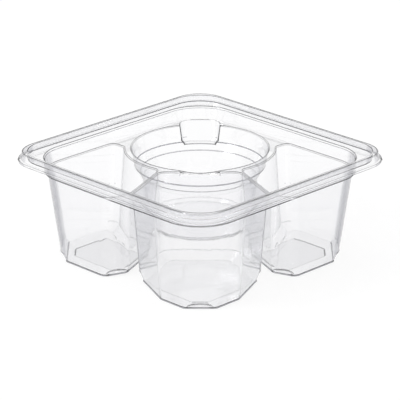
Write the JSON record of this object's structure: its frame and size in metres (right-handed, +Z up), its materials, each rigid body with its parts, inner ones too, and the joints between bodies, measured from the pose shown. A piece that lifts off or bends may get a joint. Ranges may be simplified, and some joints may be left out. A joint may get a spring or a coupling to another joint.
{
  "type": "plastic snack box",
  "caption": "Square clear plastic snack tray with a lid rim, a stepped round well for a dip cup with a finger notch, and tapered food pockets round it.",
  "frame": {"origin": "centre of the base, on the surface that the tray stands on", "axes": "+Z up, the rim's sides along X and Y; the front pocket is towards +X -Y and the round well towards -X +Y"},
  "size_m": [0.165, 0.165, 0.066],
  "materials": {
    "clear_plastic": "clear, glossy formed sheet"
  },
  "bodies": {
    "root": {"snack_tray": "clear_plastic"}
  },
  "joints": []
}
